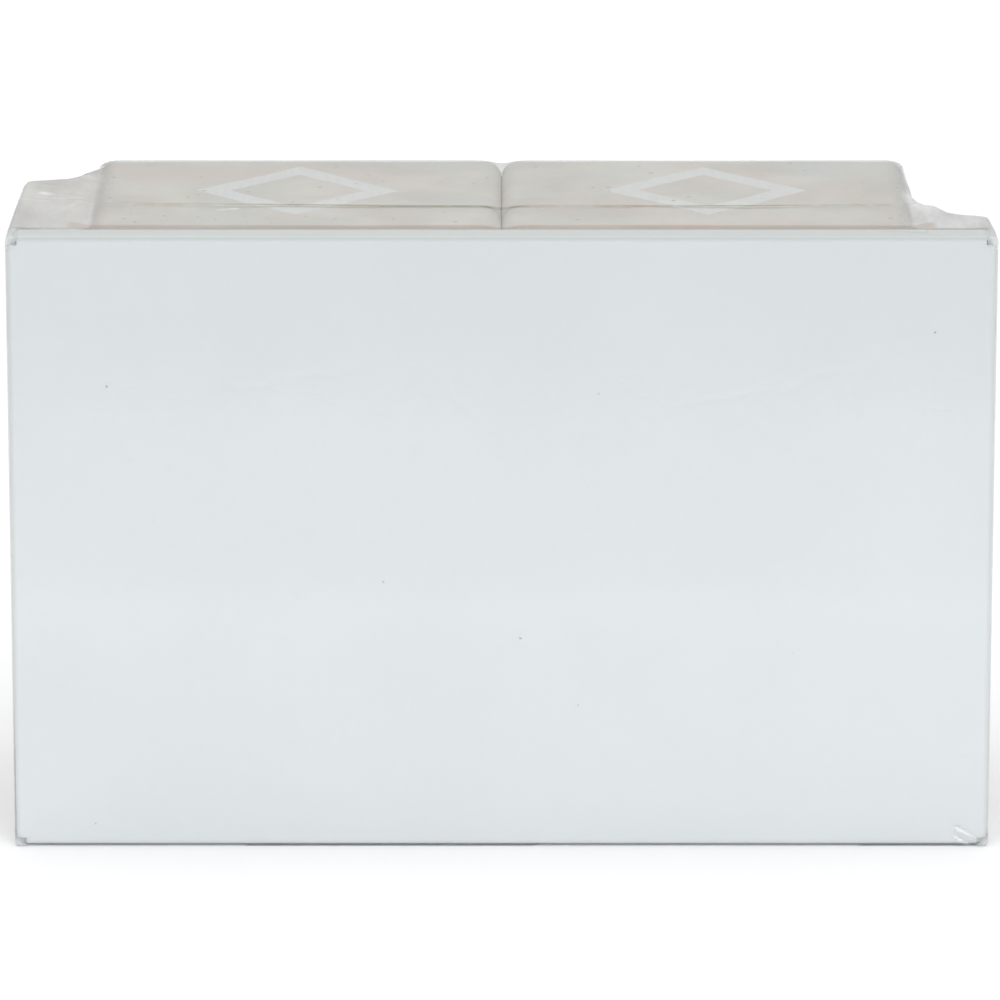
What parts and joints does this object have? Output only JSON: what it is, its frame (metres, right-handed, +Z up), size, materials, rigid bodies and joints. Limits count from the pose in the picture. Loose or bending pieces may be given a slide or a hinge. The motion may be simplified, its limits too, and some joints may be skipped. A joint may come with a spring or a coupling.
{
  "type": "gymnastics chalk block pack",
  "caption": "Retail pack of gymnastics chalk: paper-wrapped pressed chalk blocks in a shallow white board tray, sealed in clear shrink film and standing on one long side.",
  "frame": {"origin": "middle of the face the pack stands on, under the middle of the bounding box", "axes": "+Z up across the tray, X along the pack's long side, -Y out of the tray's floor, which is the plain tall front face"},
  "size_m": [0.1522, 0.058, 0.098],
  "materials": {
    "chalk": "dry, powdery, pressed",
    "wrapper_paper": "printed beige-grey wrapping paper, matt",
    "tray_board": "white clay-coated folding board, smooth",
    "glue": "dried white glue",
    "clear_film": "clear glossy shrink film"
  },
  "bodies": {
    "root": {"board_tray": "tray_board", "tray_glue": "glue", "chalk_block_1": "chalk", "chalk_block_2": "chalk", "chalk_block_3": "chalk", "chalk_block_4": "chalk", "chalk_block_5": "chalk", "chalk_block_6": "chalk", "chalk_block_7": "chalk", "chalk_block_8": "chalk", "paper_wrapper_1": "wrapper_paper", "paper_wrapper_2": "wrapper_paper", "paper_wrapper_3": "wrapper_paper", "paper_wrapper_4": "wrapper_paper", "paper_wrapper_5": "wrapper_paper", "paper_wrapper_6": "wrapper_paper", "paper_wrapper_7": "wrapper_paper", "paper_wrapper_8": "wrapper_paper", "shrink_film": "clear_film"}
  },
  "joints": []
}
